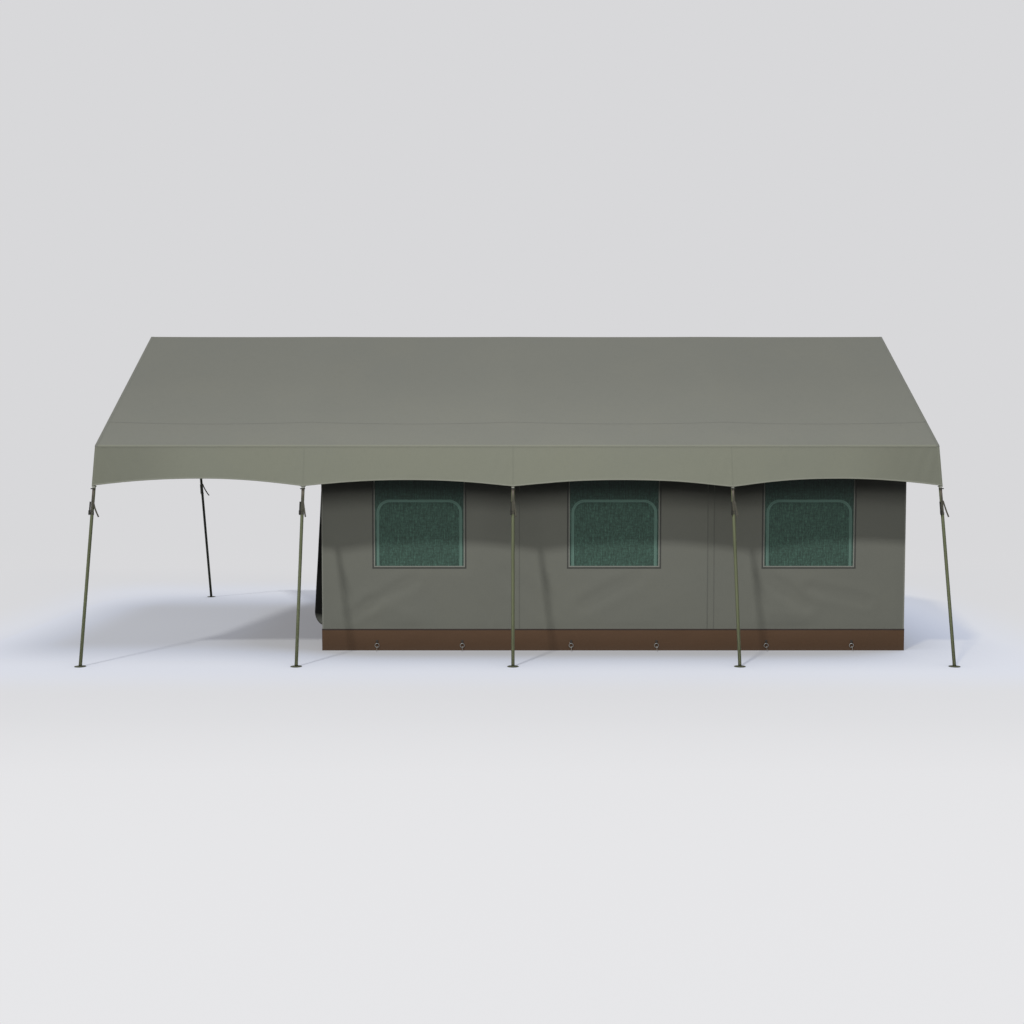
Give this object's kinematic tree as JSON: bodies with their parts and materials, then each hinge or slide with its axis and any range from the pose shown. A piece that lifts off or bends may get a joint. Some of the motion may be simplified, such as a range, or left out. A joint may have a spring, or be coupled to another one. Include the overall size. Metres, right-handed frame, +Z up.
{
  "type": "multi-room tent",
  "caption": "Ridged fly sheet on splayed steel legs over a walled inner tent with netted windows, room partitions and an open veranda at one end.",
  "frame": {"origin": "on the ground under the middle of the whole tent's box", "axes": "+X along the ridge away from the veranda, -Y towards the pictured long side, +Z up"},
  "size_m": [10.09, 6.596, 3.984],
  "materials": {
    "roof_canvas": "matt waxed canvas, grey-olive",
    "hem_canvas": "matt canvas, olive",
    "wall_canvas": "matt canvas, grey-olive",
    "skirt_pvc": "coated sheet, brown",
    "green_net": "knitted shade net, green",
    "olive_steel": "satin paint, olive",
    "tan_webbing": "woven webbing, olive-brown"
  },
  "bodies": {
    "tent": {"eave_rail_front": "olive_steel", "eave_rail_rear": "olive_steel", "fly_roof": "roof_canvas", "fly_valance_front": "hem_canvas", "fly_valance_rear": "hem_canvas", "groundsheet": "skirt_pvc", "inner_roof": "wall_canvas", "leg_front_1": "olive_steel", "leg_front_2": "olive_steel", "leg_front_3": "olive_steel", "leg_front_4": "olive_steel", "leg_front_5": "olive_steel", "leg_rear_1": "olive_steel", "leg_rear_2": "olive_steel", "leg_rear_3": "olive_steel", "leg_rear_4": "olive_steel", "leg_rear_5": "olive_steel", "partition_1": "wall_canvas", "partition_2": "wall_canvas", "rafter_front_1": "olive_steel", "rafter_front_2": "olive_steel", "rafter_front_3": "olive_steel", "rafter_front_4": "olive_steel", "rafter_front_5": "olive_steel", "rafter_rear_1": "olive_steel", "rafter_rear_2": "olive_steel", "rafter_rear_3": "olive_steel", "rafter_rear_4": "olive_steel", "rafter_rear_5": "olive_steel", "ridge_rail": "olive_steel", "strap_front_1": "tan_webbing", "strap_front_2": "tan_webbing", "strap_front_3": "tan_webbing", "strap_front_4": "tan_webbing", "strap_front_5": "tan_webbing", "strap_rear_1": "tan_webbing", "strap_rear_2": "tan_webbing", "strap_rear_3": "tan_webbing", "strap_rear_4": "tan_webbing", "strap_rear_5": "tan_webbing", "wall_far_end": "wall_canvas", "wall_front": "wall_canvas", "wall_rear": "wall_canvas", "wall_veranda_end": "wall_canvas", "window_net_front_1": "green_net", "window_net_front_2": "green_net", "window_net_front_3": "green_net", "window_net_rear_1": "green_net", "window_net_rear_2": "green_net", "window_net_rear_3": "green_net"},
    "veranda_door_front": {"veranda_door_front": "wall_canvas"},
    "veranda_door_rear": {"veranda_door_rear": "wall_canvas"},
    "partition_door_1": {"partition_door_1": "wall_canvas"},
    "partition_door_2": {"partition_door_2": "wall_canvas"},
    "window_flap_front_1": {"window_flap_front_1": "wall_canvas"},
    "window_flap_front_2": {"window_flap_front_2": "wall_canvas"},
    "window_flap_front_3": {"window_flap_front_3": "wall_canvas"},
    "window_flap_rear_1": {"window_flap_rear_1": "wall_canvas"},
    "window_flap_rear_2": {"window_flap_rear_2": "wall_canvas"},
    "window_flap_rear_3": {"window_flap_rear_3": "wall_canvas"}
  },
  "joints": [
    {"name": "veranda_door_front_hinge", "type": "hinge", "parent": "tent", "child": "veranda_door_front", "pos_m": [-2.3842, -1.96, 1.2], "axis": [0, 0, 1], "range_deg": [0, 105]},
    {"name": "veranda_door_rear_hinge", "type": "hinge", "parent": "tent", "child": "veranda_door_rear", "pos_m": [-2.3842, 1.96, 1.2], "axis": [0, 0, -1], "range_deg": [0, 105]},
    {"name": "partition_door_1_hinge", "type": "hinge", "parent": "tent", "child": "partition_door_1", "pos_m": [-0.0128, -0.48, 1.05], "axis": [0, 0, 1], "range_deg": [0, 150]},
    {"name": "partition_door_2_hinge", "type": "hinge", "parent": "tent", "child": "partition_door_2", "pos_m": [2.3629, -0.48, 1.05], "axis": [0, 0, 1], "range_deg": [0, 150]},
    {"name": "window_flap_front_1_hinge", "type": "hinge", "parent": "tent", "child": "window_flap_front_1", "pos_m": [-1.19825, -2.1037, 0.985], "axis": [1, 0, 0], "range_deg": [0, 179]},
    {"name": "window_flap_front_2_hinge", "type": "hinge", "parent": "tent", "child": "window_flap_front_2", "pos_m": [1.17745, -2.1037, 0.985], "axis": [1, 0, 0], "range_deg": [0, 179]},
    {"name": "window_flap_front_3_hinge", "type": "hinge", "parent": "tent", "child": "window_flap_front_3", "pos_m": [3.55315, -2.1037, 0.985], "axis": [1, 0, 0], "range_deg": [0, 179]},
    {"name": "window_flap_rear_1_hinge", "type": "hinge", "parent": "tent", "child": "window_flap_rear_1", "pos_m": [-1.19825, 2.1037, 0.985], "axis": [-1, 0, 0], "range_deg": [0, 179]},
    {"name": "window_flap_rear_2_hinge", "type": "hinge", "parent": "tent", "child": "window_flap_rear_2", "pos_m": [1.17745, 2.1037, 0.985], "axis": [-1, 0, 0], "range_deg": [0, 179]},
    {"name": "window_flap_rear_3_hinge", "type": "hinge", "parent": "tent", "child": "window_flap_rear_3", "pos_m": [3.55315, 2.1037, 0.985], "axis": [-1, 0, 0], "range_deg": [0, 179]}
  ]
}
